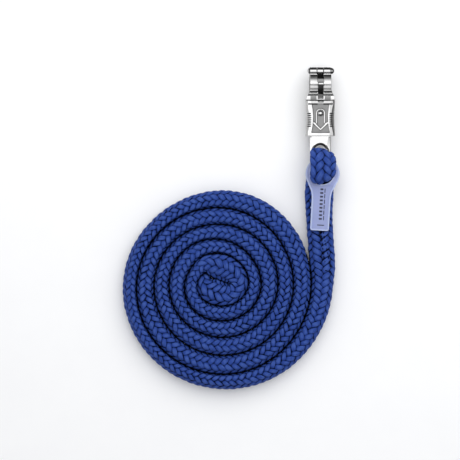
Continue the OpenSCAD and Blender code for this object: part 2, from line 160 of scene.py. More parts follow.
def coil_points():
    """Stations of the coil from the middle outwards, between one turn's edge and the next."""
    turns = np.arange(len(EDGE)) * EDGE_TURN
    angles = np.arange(1620, -1, -15)
    outer = np.interp(angles, turns, EDGE)
    inner = np.interp(angles + 360, turns, EDGE)
    kernel = np.array([1, 2, 3, 2, 1]) / 9.0

    def smooth(values):
        padded = np.pad(values, 2, mode="reflect", reflect_type="odd")
        return np.convolve(padded, kernel, "valid")

    stations = []
    for angle, radius, width in zip(angles, smooth((outer + inner) / 2), smooth(outer - inner)):
        turn = math.radians(-angle)
        height = min(ROPE_HEIGHT + (15.5 - width) * 0.12, MAX_HEIGHT)
        stations.append((POLE[0] + radius * math.cos(turn), POLE[1] + radius * math.sin(turn),
                         ROPE_Z, width - 0.1, height))
    return stations


def resample(rows, step=STATION_STEP):
    """Evenly spaced distances along the rows, and the rows at those distances."""
    distance = arc_length(rows[:, :3])
    even = np.linspace(0, distance[-1], int(round(distance[-1] / step)) + 1)
    return even, np.column_stack([np.interp(even, distance, column) for column in rows.T])


def soften(rows, rounds):
    rows = rows.copy()
    for _ in range(rounds):
        rows[1:-1] = 0.25 * rows[:-2] + 0.5 * rows[1:-1] + 0.25 * rows[2:]
    return rows


def signed_power(values, power):
    return np.sign(values) * np.abs(values) ** power


class Tube:
    """A path with a frame and an oval section at each station. point() maps a place along
    it (mm), a place round its edge (0 to 1) and a height over its surface to a point."""

    ASPECTS = np.linspace(0.35, 2.3, 40)    # height to width of the tabulated outlines
    EDGE_STEPS = 192                        # places round each outline
    NUDGE = 0.012                           # reach round the edge that gives its tangent

    def __init__(self, s, rows, power):
        """power is the superellipse's exponent: 2 is an ellipse, more is squarer."""
        self.s, self.centre = s, rows[:, :3]
        self.width, self.height = rows[:, 3], rows[:, 4]
        tangent = np.gradient(self.centre, s, axis=0)
        tangent /= np.linalg.norm(tangent, axis=1)[:, None]
        side = np.cross(tangent[0], [0, 0, 1])
        sides = [side / np.linalg.norm(side)]
        for t in tangent[1:]:
            side = sides[-1] - np.dot(sides[-1], t) * t
            sides.append(side / np.linalg.norm(side))
        self.side = np.array(sides)
        self.up = np.cross(self.side, tangent)
        self.tabulate(power)
        aspect = self.height / self.width
        self.perimeter = self.width * np.interp(aspect, self.ASPECTS, self.unit_perimeter)

    def tabulate(self, power):
        """Outlines of unit width, evenly spaced round the edge, one for each aspect."""
        angle = np.linspace(0, TAU, 3601)
        x = signed_power(np.cos(angle), 2 / power) * 0.5
        y = signed_power(np.sin(angle), 2 / power) * 0.5
        table_x, table_y, perimeters = [], [], []
        for aspect in self.ASPECTS:
            distance = arc_length(np.column_stack([x, y * aspect]))
            even = np.linspace(0, distance[-1], self.EDGE_STEPS + 1)
            table_x.append(np.interp(even, distance, x))
            table_y.append(np.interp(even, distance, y * aspect))
            perimeters.append(distance[-1])
        self.table_x, self.table_y = np.array(table_x), np.array(table_y)
        self.unit_perimeter = np.array(perimeters)

    def outline(self, width, height, u):
        """Place on the section at u, looked up between the nearest table entries."""
        low, high, pitch = self.ASPECTS[0], self.ASPECTS[-1], self.ASPECTS[1] - self.ASPECTS[0]
        row_part = (np.clip(height / width, low, high - 1e-6) - low) / pitch
        row = np.minimum(row_part.astype(int), len(self.ASPECTS) - 2)
        row_part = row_part - row
        col_part = np.mod(u, 1.0) * self.EDGE_STEPS
        col = np.minimum(col_part.astype(int), self.EDGE_STEPS - 1)
        col_part = col_part - col

        def look(table):
            first = table[row, col] * (1 - col_part) + table[row, col + 1] * col_part
            second = table[row + 1, col] * (1 - col_part) + table[row + 1, col + 1] * col_part
            return first * (1 - row_part) + second * row_part
        return look(self.table_x) * width, look(self.table_y) * width

    def at(self, s, values):
        if values.ndim == 1:
            return np.interp(s, self.s, values)
        return np.stack([np.interp(s, self.s, column) for column in values.T], -1)

    def squeeze(self, s):
        """How much the braid is scaled down where the tube is thin."""
        return np.clip(self.at(s, self.perimeter) / 54.0, 0.45, 1.12)

    def point(self, s, u, rise):
        s = np.clip(s, self.s[0], self.s[-1])
        width, height = self.at(s, self.width), self.at(s, self.height)
        x, y = self.outline(width, height, u)
        x_after, y_after = self.outline(width, height, u + self.NUDGE)
        x_before, y_before = self.outline(width, height, u - self.NUDGE)
        along_x, along_y = x_after - x_before, y_after - y_before
        length = np.hypot(along_x, along_y) + 1e-9
        x, y = x + along_y / length * rise, y - along_x / length * rise
        return (self.at(s, self.centre) + self.at(s, self.side) * x[..., None]
                + self.at(s, self.up) * y[..., None])


# ------------------------------------------------------------------ meshes of tubes


def add_object(name, data):
    o = bpy.data.objects.new(name, data)
    bpy.context.scene.collection.objects.link(o)
    return o


def tube_mesh(name, rings, along, depth=None):
    """A capped tube from rings, (stations, points, 3) in mm. along is the first UV of each
    station; depth is stored on the vertices for the yarn's painted shade and highlight."""
    count, sides, _ = rings.shape
    first = np.arange(count - 1)[:, None] * sides
    here = np.arange(sides)[None, :]
    after = (here + 1) % sides
    quads = np.stack([first + here, first + after, first + sides + after,
                      first + sides + here], -1).reshape(-1, 4)
    caps = [list(range(sides))[::-1], list(range((count - 1) * sides, count * sides))]
    me = bpy.data.meshes.new(name)
    me.from_pydata((rings.reshape(-1, 3) * MM).tolist(), [], quads.tolist() + caps)
    bm = bmesh.new()
    bm.from_mesh(me)
    bmesh.ops.recalc_face_normals(bm, faces=bm.faces)
    bm.to_mesh(me)
    bm.free()
    if depth is not None:
        values = np.broadcast_to(depth, (count, sides)).reshape(-1).astype(np.float32)
        me.attributes.new("depth", "FLOAT", "POINT").data.foreach_set("value", values)
    layer = me.uv_layers.new(name="along")
    vertex = np.zeros(len(me.loops), int)
    me.loops.foreach_get("vertex_index", vertex)
    places = np.column_stack([along[vertex // sides], (vertex % sides) / sides])
    # the last column of faces wraps from 1 back to 0
    starts, totals = np.zeros(len(me.polygons), int), np.zeros(len(me.polygons), int)
    me.polygons.foreach_get("loop_start", starts)
    me.polygons.foreach_get("loop_total", totals)
    corners = starts[totals == 4][:, None] + np.arange(4)[None, :]
    around = places[corners, 1]
    wraps = (around.max(1) - around.min(1) > 0.5)[:, None]
    places[corners, 1] = np.where(wraps & (around < 0.5), around + 1, around)
    layer.data.foreach_set("uv", places.ravel())
    me.polygons.foreach_set("use_smooth", [True] * len(me.polygons))
    return add_object(name, me)


def thread_mesh(name, points, radius, sides=8, taper=True, depth=None):
    """A thin round tube through the points, its two ends drawn in if it tapers."""
    tangent = np.gradient(points, axis=0)
    tangent /= np.linalg.norm(tangent, axis=1)[:, None]
    side = np.cross(tangent[0], [0.0, 0, 1])
    # a thread that starts straight up has no cross product with Z
    if np.linalg.norm(side) < 1e-3:
        side = np.cross(tangent[0], [1.0, 0, 0])
    side /= np.linalg.norm(side)
    angle = (np.arange(sides) / sides * TAU)[:, None]
    rings = []
    for k, t in enumerate(tangent):
        side = side - np.dot(side, t) * t
        side /= np.linalg.norm(side)
        up = np.cross(side, t)
        reach = radius * 0.55 if taper and k in (0, len(points) - 1) else radius
        rings.append(points[k] + reach * (np.cos(angle) * side + np.sin(angle) * up))
    return tube_mesh(name, np.array(rings), arc_length(points) / 10, depth)


def join(objs, name):
    for o in bpy.context.scene.objects:
        o.select_set(False)
    for o in objs:
        o.select_set(True)
    bpy.context.view_layer.objects.active = objs[0]
    bpy.ops.object.join()
    o = bpy.context.view_layer.objects.active
    o.name = name
    o.data.name = name
    o.select_set(False)
    return o


def finish_piece(o, mat, body, slot, *stands_for):
    """Gives a piece its material and its moving body, and hides the CAD nodes it replaces.
    slot is not used.
    """
    o.data.materials.clear()
    o.data.materials.append(mat)
    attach(o, body)
    if stands_for:
        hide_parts(*stands_for)


# ------------------------------------------------------------------ shader helpers


class Shading:
    """Adds nodes to one node tree. An input is a plain value or the socket that feeds it."""

    def __init__(self, tree):
        self.tree = tree
        tree.nodes.clear()

    def feed(self, node, inputs):
        for key, value in inputs.items():
            if isinstance(value, bpy.types.NodeSocket):
                self.tree.links.new(value, node.inputs[key])
            else:
                node.inputs[key].default_value = value

    def node(self, kind, inputs=None, **settings):
        node = self.tree.nodes.new("ShaderNode" + kind)
        for key, value in settings.items():
            setattr(node, key, value)
        self.feed(node, inputs or {})
        return node

    def math(self, operation, *values, clamp=False):
        node = self.node("Math", dict(enumerate(values)), operation=operation, use_clamp=clamp)
        return node.outputs[0]

    def add(self, a, b, clamp=False):
        return self.math("ADD", a, b, clamp=clamp)

    def times(self, a, b):
        return self.math("MULTIPLY", a, b)

    def swing(self, value, amount):
        """A 0 to 1 value turned into a swing of the given amount about zero."""
        return self.times(self.math("SUBTRACT", value, 0.5), amount)

    def blend(self, mode, a, b, factor=1.0):
        return self.node("MixRGB", {0: factor, 1: a, 2: b}, blend_type=mode).outputs[0]

    def ramp(self, source, stops):
        """Colours at places from 0 to 1; a single number is a grey."""
        node = self.node("ValToRGB", {0: source})
        elements = node.color_ramp.elements
        while len(elements) < len(stops):
            elements.new(0.5)
        for element, (place, colour) in zip(elements, stops):
            element.position = place
            rgb = colour if isinstance(colour, tuple) else (colour,) * 3
            element.color = (*rgb, 1)
        return node.outputs[0]

    def noise(self, vector, scale, detail=2.0, roughness=0.5):
        return self.node("TexNoise", {"Scale": scale, "Detail": detail, "Roughness": roughness,
                                      "Vector": vector}).outputs["Fac"]

    def mapped(self, vector, **inputs):
        return self.node("Mapping", {"Vector": vector, **inputs}).outputs[0]

    def coords(self, kind="Object"):
        return self.node("TexCoord").outputs[kind]

    def attribute(self, name):
        return self.node("Attribute", attribute_name=name).outputs["Fac"]

    def occlusion(self, distance, samples, stops):
        """A grey factor, dark in gaps and recesses."""
        node = self.node("AmbientOcclusion", {"Distance": distance}, samples=samples)
        return self.ramp(node.outputs["AO"], stops)

    def bump(self, height, strength, distance):
        return self.node("Bump", {"Strength": strength, "Distance": distance,
                                  "Height": height}).outputs[0]

    def smoothstep(self, value, from_min, from_max, to_min, to_max):
        return self.node("MapRange", {
            "From Min": from_min, "From Max": from_max, "To Min": to_min, "To Max": to_max,
            "Value": value}, interpolation_type="SMOOTHSTEP").outputs[0]


def new_material(name):
    mat = bpy.data.materials.new(name)
    mat.use_nodes = True
    sh = Shading(mat.node_tree)
    output = sh.node("OutputMaterial")
    bsdf = sh.node("BsdfPrincipled")
    sh.tree.links.new(bsdf.outputs[0], output.inputs[0])
    return mat, sh, bsdf


# ------------------------------------------------------------------ materials


def yarn_material(name, low, mid, high, filament=0.5, sheen=0.12, gap_shade=True):
    """Bundled filaments that run along the strand, with painted shade where the strand dives
    under and a painted highlight on its crown. filament is the strength of the bump;
    gap_shade paints shade into the openings between strands."""
    mat, sh, bsdf = new_material(name)
    uv = sh.node("UVMap", uv_map="along").outputs[0]
    fibre = sh.noise(sh.mapped(uv, Scale=(1.6, 52.0, 1.0)), scale=1.0, detail=3.0, roughness=0.6)
    ply = sh.noise(sh.mapped(uv, Scale=(0.8, 16.0, 1.0)), scale=1.0, detail=1.0)
    depth = sh.attribute("depth")
    patchy = sh.noise(sh.coords(), scale=210.0, detail=3.0, roughness=0.6)
    for texture, amount in ((patchy, 0.34), (fibre, 0.42), (ply, 0.22)):
        depth = sh.add(depth, sh.swing(texture, amount))
    # painted shade and highlight: low where the strand dives under, high on its crown
    half = tuple(0.5 * c for c in mid)
    base = sh.ramp(depth, [(0.0, low), (0.58, low), (0.74, half), (0.85, mid), (0.94, mid),
                           (1.0, high)])
    specular, fuzz = 0.12, sheen
    # painted shade in the openings: occlusion darkens the colour, specular and sheen
    if gap_shade:
        lit = sh.occlusion(distance=0.0046, samples=6,
                           stops=[(0.0, 0.0), (0.36, 0.03), (0.60, 0.36), (0.80, 1.0)])
        base = sh.blend("MULTIPLY", base, lit)
        specular, fuzz = sh.times(lit, specular), sh.times(lit, sheen)
    height = sh.add(sh.times(fibre, 0.7), sh.times(ply, 0.8))
    sh.feed(bsdf, {
        "Base Color": base,
        "Roughness": sh.add(sh.times(fibre, 0.30), 0.46),
        "Specular IOR Level": specular,
        "Sheen Weight": fuzz,
        "Sheen Roughness": 0.4,
        "Sheen Tint": (0.20, 0.30, 0.8, 1),
        "Normal": sh.bump(height, strength=filament, distance=0.0005)})
    return mat


# greys of the painted shade that ambient occlusion puts in the metal's recesses
DEEP_RECESS_SHADE = [(0.0, 0.03), (0.25, 0.10), (0.52, 0.45), (0.78, 1.0)]
SOFT_RECESS_SHADE = [(0.0, 0.10), (0.22, 0.30), (0.45, 0.75), (0.65, 1.0)]


def metal_material(name, base, rough, grain=0.25, wear=0.1, mark_grey=None, mapping=None,
                   recess=DEEP_RECESS_SHADE):
    """Plated metal: slight orange peel, soft smudges, painted shade in the recesses. grain is
    the strength of the bump, wear the swing of roughness, mark_grey the grey of marked places,
    and mapping a scale for coarser fine noise."""
    mat, sh, bsdf = new_material(name)
    co = sh.coords()
    smudge = sh.noise(co, scale=90.0, detail=3.0, roughness=0.6)
    if mapping:
        fine = sh.noise(sh.mapped(co, Scale=mapping), scale=900.0)
    else:
        fine = sh.noise(co, scale=1400.0)
    peel = sh.noise(co, scale=420.0)
    dark = tuple(c * (1 - 0.16) for c in base)
    bright = tuple(min(1, c * 1.05) for c in base)
    colour = sh.ramp(smudge, [(0.25, dark), (0.6, base), (1.0, bright)])
    roughness = sh.add(sh.times(smudge, wear), rough - wear * 0.5)
    # marked places: painted shade, near black at 1.5; on the sleeve's sunk panels a greyer,
    # rougher floor
    if mark_grey is not None:
        mark = sh.attribute("mark")
        shade = sh.ramp(sh.times(mark, 0.5), [(0.0, 1.0), (0.5, mark_grey), (0.75, 0.06)])
        colour = sh.blend("MULTIPLY", colour, shade)
        roughness = sh.add(roughness, sh.times(mark, 0.22))
    # painted shade: ambient occlusion darkens the colour in recesses
    shadow = sh.occlusion(distance=0.0026, samples=8, stops=recess)
    sh.feed(bsdf, {
        "Base Color": sh.blend("MULTIPLY", colour, shadow),
        "Metallic": 1.0,
        "Roughness": sh.add(roughness, sh.swing(fine, 0.08), clamp=True),
        "Normal": sh.bump(sh.add(sh.times(fine, 0.35), peel), strength=grain,
                          distance=0.00006)})
    return mat


def pvc_material():
    """Cloudy, slightly see-through plastic, scuffed, paler where marked."""
    mat, sh, bsdf = new_material("tag_pvc")
    co = sh.coords()
    cloud = sh.noise(co, scale=60.0)
    fine = sh.noise(co, scale=900.0, detail=3.0, roughness=0.6)
    streaks = sh.mapped(co, Rotation=(0, 0, 0.5), Scale=(1.0, 12.0, 1.0))
    scuff = sh.noise(streaks, scale=300.0, detail=3.0, roughness=0.65)
    colour = sh.ramp(cloud, [(0.2, (0.283, 0.333, 0.602)), (0.8, (0.330, 0.381, 0.652))])
    pale = (0.47, 0.54, 0.78, 1)
    sh.feed(bsdf, {
        "Base Color": sh.blend("MIX", colour, pale, factor=sh.attribute("mark")),
        "Roughness": sh.add(sh.times(scuff, 0.22), 0.24),
        "IOR": 1.53,
        "Transmission Weight": 0.18,
        "Subsurface Weight": 0.35,
        "Subsurface Radius": (0.4, 0.45, 0.8),
        "Subsurface Scale": 0.003,
        "Coat Weight": 0.15,
        "Normal": sh.bump(sh.add(fine, scuff), strength=0.12, distance=0.00008)})
    return mat


def ink_material():
    """Dark ink, worn through in specks."""
    mat, sh, bsdf = new_material("tag_ink")
    worn = sh.noise(sh.coords(), scale=1500.0, detail=3.0, roughness=0.7)
    sh.feed(bsdf, {
        "Base Color": sh.ramp(worn, [(0.30, (0.10, 0.11, 0.22)), (0.48, (0.012, 0.014, 0.05)),
                                     (1.0, (0.008, 0.010, 0.04))]),
        "Roughness": sh.add(sh.times(worn, 0.2), 0.35),
        "Normal": sh.bump(worn, strength=0.1, distance=0.00003)})
    return mat


# low is painted shade where a strand dives under, high a painted highlight on its crown
rope_mat = yarn_material("braided_yarn", low=(0.0004, 0.0008, 0.004),
                         mid=(0.020, 0.052, 0.255), high=(0.041, 0.086, 0.32))
# the filler yarn's near-black colour is painted shade for the gaps between the strands
core_mat = yarn_material("filler_yarn", low=(0.0008, 0.001, 0.004), mid=(0.001, 0.0018, 0.009),
                         high=(0.002, 0.004, 0.02), filament=0.6, sheen=0.0, gap_shade=False)
thread_mat = yarn_material("sewing_thread", low=(0.0008, 0.001, 0.005),
                           mid=(0.002, 0.003, 0.014), high=(0.006, 0.009, 0.045),
                           filament=0.6, sheen=0.05, gap_shade=False)
NICKEL = dict(base=(0.84, 0.84, 0.845), rough=0.17)
metal_material("nickel_casting", **NICKEL)  # the plain finish, on no piece so far
sleeve_mat = metal_material("nickel_casting_panel", **NICKEL, grain=0.3, mark_grey=0.36)
body_mat = metal_material("nickel_casting_body", **NICKEL, mark_grey=0.22, recess=SOFT_RECESS_SHADE)
jaw_mat = metal_material("nickel_casting_jaw", **NICKEL, mark_grey=0.22)
steel_mat = metal_material("nickel_steel", base=(0.86, 0.86, 0.87), rough=0.14, grain=0.12,
                           wear=0.06, mark_grey=0.22)
wire_mat = metal_material("spring_wire", base=(0.60, 0.61, 0.64), rough=0.30, grain=0.3,
                          mapping=(1, 1, 1))
pvc_mat = pvc_material()
ink_mat = ink_material()


# ------------------------------------------------------------------ the braided cover

STRANDS = 8         # strands that wind each way
RING = 12           # points round a strand
# lay is the length of one full turn of a strand, amp how far it rises and dips, inset the
# length left bare at each end of the tube
ROPE_BRAID = dict(lay=53.0, amp=1.05, thick=2.2, step=1.05, seed=0, inset=0.8)
TAIL_BRAID = dict(lay=34.0, amp=0.42, thick=0.9, step=1.0, seed=50, inset=0.6)
COVER = ROPE_BRAID["amp"] + ROPE_BRAID["thick"] / 2     # half the cover's full depth


def wobble(rng, s, wave, amount):
    """Smooth seeded variation along s."""
    total = np.zeros_like(s)
    for f in (1.0, 1.9, 3.1):
        total += np.sin(s / (wave / f) * TAU + rng.uniform(0, TAU)) / f
    return total * amount / 1.4


def braid_strand(name, tube, i, way, lay, amp, thick, step, seed, inset):
    """One strand of a two-over, two-under braid laid on the tube."""
    rng = np.random.default_rng(1000 + seed + i * 2 + (way > 0))
    start, end = inset, tube.s[-1] - inset
    s = np.linspace(start, end, int((end - start) / step) + 1)
    columns = STRANDS * 2
    column = 2 * i + way * (s / (lay / columns))
    u = column / columns
    # 1 where the strand rides over, -1 where it passes under
    over = signed_power(np.cos(TAU * (column - (0.5 if way > 0 else 2.5)) / 4), 0.62)
    perimeter, squeeze = tube.at(s, tube.perimeter), tube.squeeze(s)
    slant = np.arctan(perimeter / lay)
    spacing = perimeter / STRANDS * np.cos(slant)
    # how slack the braid is here: it varies along the rope and round it
    slack = 0.5 + 0.5 * np.sin(s / 61.0 * TAU + 3.1 * np.sin(s / 143.0 * TAU) + TAU * u * 2)
    slack = slack * (0.5 + 0.5 * np.sin(s / 205.0 * TAU + 1.0))
    half_width = (spacing / 2 * 1.04 * (0.945 + 0.09 * over - 0.11 * slack)
                  * (1 + wobble(rng, s, wave=23, amount=0.06)))
    half_depth = (thick / 2 * squeeze * (1 + 0.10 * over)
                  * (1 + wobble(rng, s, wave=31, amount=0.06)))
    lift = (-(amp + thick / 2) * squeeze + amp * squeeze * over
            + wobble(rng, s, wave=17, amount=0.14) - 0.25 * slack * (1 - over))
    drift = wobble(rng, s, wave=29, amount=0.26)
    # the strand's section is a flat bundle with full shoulders
    angle = (np.arange(RING) + 0.5) / RING * TAU
    across = (half_width[:, None] * signed_power(np.cos(angle), 0.85)[None, :]
              + drift[:, None])
    rise = lift[:, None] + half_depth[:, None] * signed_power(np.sin(angle), 0.80)[None, :]
    points = tube.point(s[:, None] - way * np.sin(slant)[:, None] * across,
                        u[:, None] + np.cos(slant)[:, None] * across / perimeter[:, None], rise)
    # depth, 0 deep in the cover to 1 on the crown, sets the yarn's painted shade and highlight
    depth = np.clip((rise / squeeze[:, None] + 2 * COVER) / (2 * COVER), 0, 1)
    return tube_mesh(name, points, s * 1.41 / 10, depth)


def braid(tube, names, settings):
    """All the strands of a braid: one winding direction, then the other."""
    winds = [(i, way) for way in (1, -1) for i in range(STRANDS)]
    return [braid_strand(name, tube, i, way, **settings)
            for name, (i, way) in zip(names, winds)]


inner_points = [(POLE[0] + x, POLE[1] + y, *rest) for x, y, *rest in INNER]
stations, station_rows = resample(catmull(inner_points + coil_points() + OUTER))
rope = Tube(stations, soften(station_rows, 4), power=2.35)
ROPE_LENGTH = rope.s[-1]

for strand in braid(rope, [f"rope_strand_{k:02d}" for k in range(1, 2 * STRANDS + 1)],
                    ROPE_BRAID):
    finish_piece(strand, rope_mat, "rope", "rope", "rope_cover")
    strand.visible_glossy = False  # the metal mirrors the studio, not the yarn


def build_core(sides=32):
    """The filler yarns, a fluted tube whose near-black colour is painted shade: it shows only as
    the dark between the strands.
    """
    s = np.linspace(1.5, ROPE_LENGTH - 1.5, int(ROPE_LENGTH / 2.0))
    s_column, u = s[:, None], (np.arange(sides) / sides)[None, :]
    squeeze = rope.squeeze(s_column)
    flute = 0.28 * np.cos(TAU * (u * STRANDS + s_column / 70.0))
    rise = -(COVER + 0.95) * squeeze + flute * squeeze
    # the flutes' depth deepens the painted shade in their grooves
    core = tube_mesh("rope_core_yarns", rope.point(s_column, u, rise), s / 10,
                     0.75 + flute * 0.8)
    finish_piece(core, core_mat, "rope", "core", "rope_core")


build_core()


# ------------------------------------------------------------------ splice and whipping

# stations in the last part of the rope, while it is still flat or under the plate
STANDING = (rope.s > ROPE_LENGTH - 190) & (rope.centre[:, 2] < -3)
TAIL_SPAN = (-176, -103)                # y of the two ends of the buried tail
TAIL_WIDTH, TAIL_HEIGHT = 8.6, 7.6
STITCH, STITCH_GAP = 3.1, 1.0           # length of a stitch and of the space after it
STITCH_RADIUS, TWINE_RADIUS = 0.42, 0.44
WHIP_TURNS, WHIP_PITCH, WHIP_START = 9, 0.78, 1.4
THREAD_DEPTH = 0.8                      # the depth attribute of all thread
# lines of stitching on the top of the standing part: x, y
SEAMS = [[(-1.1, -139.0), (1.2, -146.2), (2.2, -157.5), (4.6, -170.8)],
         [(2.6, -139.4), (5.8, -155.6), (8.4, -167.0), (10.3, -177.5)],
         [(3.6, -176.3), (8.0, -178.0), (12.6, -179.3)]]


def along_rope(y):
    """Distance along the rope at which the standing part passes y."""
    return rope.s[np.where((rope.centre[:, 1] < y) & STANDING)[0][-1]]


def build_tail():
    """The buried tail, a narrower braid inside the standing part, under the stitching."""
    count = 80
    start, end = (along_rope(y) for y in TAIL_SPAN)
    rows = np.column_stack([rope.at(np.linspace(start, end, count), rope.centre),
                            np.full(count, TAIL_WIDTH), np.full(count, TAIL_HEIGHT)])
    tube = Tube(*resample(rows), power=2.1)
    names = [f"tail_{k}" for k in range(2 * STRANDS)]
    tail = join(braid(tube, names, TAIL_BRAID), "splice_tail_braid")
    finish_piece(tail, rope_mat, "rope", "rope", "splice_tail")


def top_place(x, y):
    """(s, u) of the point of the standing part's top surface over x, y."""
    s = rope.s[np.argmin(np.abs(rope.centre[:, 1] - y) + np.where(STANDING, 0, 1e6))]
    u = np.linspace(0.02, 0.48, 240)
    surface = rope.point(np.full(len(u), s), u, 0.0)
    return s, u[np.argmin(np.abs(surface[:, 0] - x))]


def seam(corners):
    """Centre lines of the lock stitches along one line; each dips at both ends."""
    corners = np.array(corners, float)
    distance = arc_length(corners)
    rng = np.random.default_rng(5)
    dip = -1.5 * np.abs(np.arange(9) / 4 - 1) ** 3
    lines, start = [], 0.4
    while start + STITCH < distance[-1]:
        length = STITCH * rng.uniform(0.75, 1.1)
        along = np.linspace(start, start + length, 9)
        x, y = (np.interp(along, distance, column) for column in corners.T)
        s, u = np.array([top_place(*place) for place in zip(x, y)]).T
        z = rope.point(s, u, 0.02 + dip)[:, 2]
        x = x + rng.uniform(-0.15, 0.15)
        lines.append(soften(np.column_stack([x, y, z]), 1))
        start += length + STITCH_GAP * rng.uniform(0.8, 1.3)
    return lines


def build_stitching():
    lines = [line for corners in SEAMS for line in seam(corners)]
    objs = [thread_mesh(f"st_{k}", line, STITCH_RADIUS, depth=THREAD_DEPTH)
            for k, line in enumerate(lines)]
    stitches = join(objs, "splice_stitches")
    finish_piece(stitches, thread_mat, "rope", "thread", "splice_stitching")


def build_whipping():
    """Twine wound round the end of the rope."""
    turn = np.linspace(0, WHIP_TURNS, WHIP_TURNS * 40)
    line = rope.point(WHIP_START + turn * WHIP_PITCH, -turn, -0.15)
    whip = thread_mesh("end_whipping_twine", line, TWINE_RADIUS, depth=THREAD_DEPTH)
    finish_piece(whip, thread_mat, "rope", "thread", "end_whipping")


build_tail()
build_stitching()
build_whipping()


# ------------------------------------------------------------------ shapes of the castings

# Each shape_ function moves vertices, and each mark_ function gives them a mark that the
# materials read. Both take vertices in mm and their normals.

EYE_X, EYE_Y = 0.6, -63.0           # centre of the eye in the body
THROAT_RADIUS = 9.5                 # of the hook and the jaw, round the X axis
PIN_Y = 12.6                        # axis of the jaw's barrel
GROOVE_Y = -19.25                   # the groove across the sleeve near its +Y end
GRIP_PITCH, GRIP_START = 2.0, -28.3


def sleeve_edge(x, y):
    """How far a place lies outside the waisted edge between the sleeve's sloping band and
    its flank."""
    waist_y = np.where(x > 0, -33.3, -34.5)
    waist = np.where(x > 0, 10.2, 10.7)
    return np.abs(x) - (waist + 1.9 * np.clip(((y - waist_y) / 13.6) ** 2, 0, 1.15))


def grip_row(y):
    """1 on the line of each grip, 0 between them."""
    k = (y - GRIP_START) / GRIP_PITCH
    return np.clip(1 - np.abs(k - np.round(k)) / 0.30, 0, 1) * ((y < -27.6) & (y > -41.2))


def shape_sleeve(co, no):
    """The flank starts at a waisted edge; grips cross that edge; a groove near one end."""
    x, y, z = co.T
    up, face = np.abs(z), np.where(z < 0, -1.0, 1.0)
    edge = sleeve_edge(x, y)
    banded = (y < -16.6) & (y > -48.7)
    top = 9.5 - np.clip(np.abs(x) - edge - 8.4, 0, 5) * 0.257
    lid = np.where(edge < 0.9, top - np.clip(edge, 0, 5) * 1.0, top - 0.9 - (edge - 0.9) * 1.9)
    flank = np.minimum(up, np.maximum(lid, 2.5 + (up - 2.5) * 0.35))
    up = np.where(banded & (edge > 0) & (up > 2.5), flank, up)
    grip = grip_row(y) * np.clip(1 - np.abs(edge + 0.1) / 1.9, 0, 1) ** 0.5
    up = np.where((up > 5.5) & (np.abs(x) > 7.9), up - 0.62 * grip, up)
    groove = (np.exp(-(np.abs(y - GROOVE_Y) / 0.42) ** 4) * (np.abs(x) > 2.9)
              * np.clip((11.9 - np.abs(x)) / 0.5, 0, 1))
    up = np.where(up > 8.2, up - 0.7 * groove, up)
    return np.column_stack([x, y, face * up])


def mark_sleeve(co, no):
    """The floors of the sunk panels on both faces, and painted near-black shade in the grips
    and the groove.
    """
    x, y, z = co.T
    across, up = np.abs(x), np.abs(z)
    panel = (up < 8.75) & (up > 7.6) & (np.abs(no[:, 2]) > 0.6) & (across < 8.9) & (y < -18.6)
    near_edge = np.abs(sleeve_edge(x, y) + 0.1) < 1.5
    grip = (grip_row(y) > 0.35) & near_edge & (up > 5.5) & (across > 7.9)
    groove = (np.abs(y - GROOVE_Y) < 0.36) & (across > 3.0) & (across < 11.6) & (up > 7.9)
    return np.where(grip | groove, 1.5, np.where(panel, 1.0, 0.0)).astype(np.float32)


def shape_body(co, no):
    """The mouth of the eye is drawn in on its +Y side."""
    x, y, z = co.T
    dx, dy = x - EYE_X, y - EYE_Y
    r = np.hypot(dx, dy) + 1e-9
    t = np.clip((dy + 1.0) / 5.0, 0, 1)
    t = t * t * (3 - 2 * t)
    pull = (2.3 * t * np.clip((13.4 - r) / 3.6, 0, 1)
            * np.clip((9.2 - np.abs(x)) / 2.4, 0, 1) * (np.abs(z) < 2.6))
    scale = (r - pull) / r
    return np.column_stack([EYE_X + dx * scale, EYE_Y + dy * scale, z])


def mark_body(co, no):
    """Painted shade on the throat of the hook and on the floor of the jaw's window, and lighter
    painted shade on the mouths of the eye."""
    x, y, z = co.T
    throat = (np.hypot(y, z) < THROAT_RADIUS) & (z < 2)
    window = (np.abs(x - 0.2) < 3.2) & (y > -14.2) & (y < -8.5) & (z < 1.5) & (z > -3)
    eye = ((np.hypot(x - EYE_X, y - EYE_Y) < 9.0) & (np.abs(z) < 1.93)
           & (np.abs(no[:, 2]) < 0.96))
    return np.where(throat | window, 1.0, np.where(eye, 0.75, 0.0)).astype(np.float32)


def shape_jaw(co, no):
    """The bridge across the sunk strip is narrowed."""
    x, y, z = co.T
    strip = (np.abs(x) < 3.12) & (np.hypot(y, z) < 14.3) & (z > 7.0)
    moved = np.interp(y, [-6.5, -2.8, 1.2, 4.5], [-6.5, -1.2, 0.65, 4.5])
    return np.column_stack([x, np.where(strip, moved, y), z])


def mark_jaw(co, no):
    """Painted shade on the throat of the jaw, the sunk strip along its top and the ends of its
    knuckles; the patches at its -Y end are greyed as well."""
    x, y, z = co.T
    r = np.hypot(y, z)
    strip = (np.abs(x - 0.1) < 2.5) & (r > 10) & (y > -15) & (y < 9) & (no[:, 2] > 0.3)
    bridge = (y > -1.5) & (y < 0.8)
    barrel = np.hypot(y - PIN_Y, z) < 3.8
    ends = barrel & ((np.abs(x) > 9.62) | (np.abs(x) < 3.5))
    patch = ((np.abs(np.abs(x) - 6.8) < 2.9) & (np.abs(y + 13.4) < 1.75) & (z > 8)
             & (no[:, 2] > 0.6))
    mark = np.where(strip & ~bridge, 0.42, 0.0)
    mark = np.where(strip & (y > 0.8), np.clip(0.95 - 0.24 * (y - 1), 0, 0.95), mark)
    mark = np.where(patch, 0.85, mark)
    return np.where((r < THROAT_RADIUS) | ends, 1.0, mark).astype(np.float32)


def mark_pin(co, no):
    """Painted near-black shade on all of the hinge pin between its heads."""
    return np.where(np.abs(co[:, 0]) < 10.7, 1.5, 0.0).astype(np.float32)


